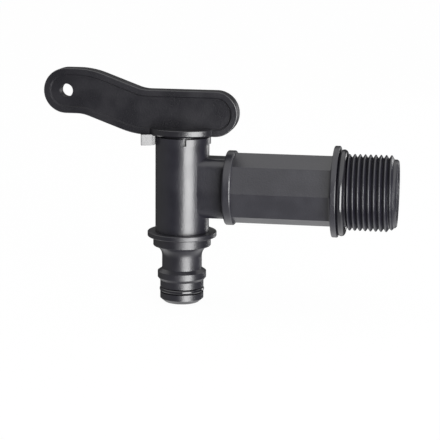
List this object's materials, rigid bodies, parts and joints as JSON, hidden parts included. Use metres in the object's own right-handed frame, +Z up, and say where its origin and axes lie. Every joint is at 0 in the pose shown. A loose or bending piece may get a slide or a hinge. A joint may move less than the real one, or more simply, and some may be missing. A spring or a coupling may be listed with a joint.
{
  "type": "tank tap with lever handle",
  "caption": "Plastic lever tap for a water tank: threaded flanged inlet, eight-sided body, upright barrel with a quarter-turn lever plug and a hose nipple below.",
  "frame": {"origin": "centre of the inlet flange's sealing face", "axes": "+X along the threaded inlet into the tank, +Z up along the barrel, lever in line with the inlet (open)"},
  "size_m": [0.1172, 0.0298, 0.0773],
  "materials": {
    "body_plastic": "satin",
    "lever_plastic": "satin",
    "nipple_plastic": "satin",
    "seal_rubber": "matte",
    "ring_rubber": "satin"
  },
  "bodies": {
    "tap": {"tap_body": "body_plastic", "outlet_nipple": "nipple_plastic", "nipple_seat_o_ring": "seal_rubber", "nipple_o_ring": "ring_rubber", "inlet_o_ring": "ring_rubber"},
    "lever": {"lever": "lever_plastic", "upper_plug_o_ring": "seal_rubber", "lower_plug_o_ring": "seal_rubber", "port_seal": "seal_rubber"}
  },
  "joints": [
    {"name": "lever_turn", "type": "hinge", "parent": "tap", "child": "lever", "pos_m": [-0.0521, 0, 0], "axis": [0, 0, 1], "range_deg": [0, 90]}
  ]
}
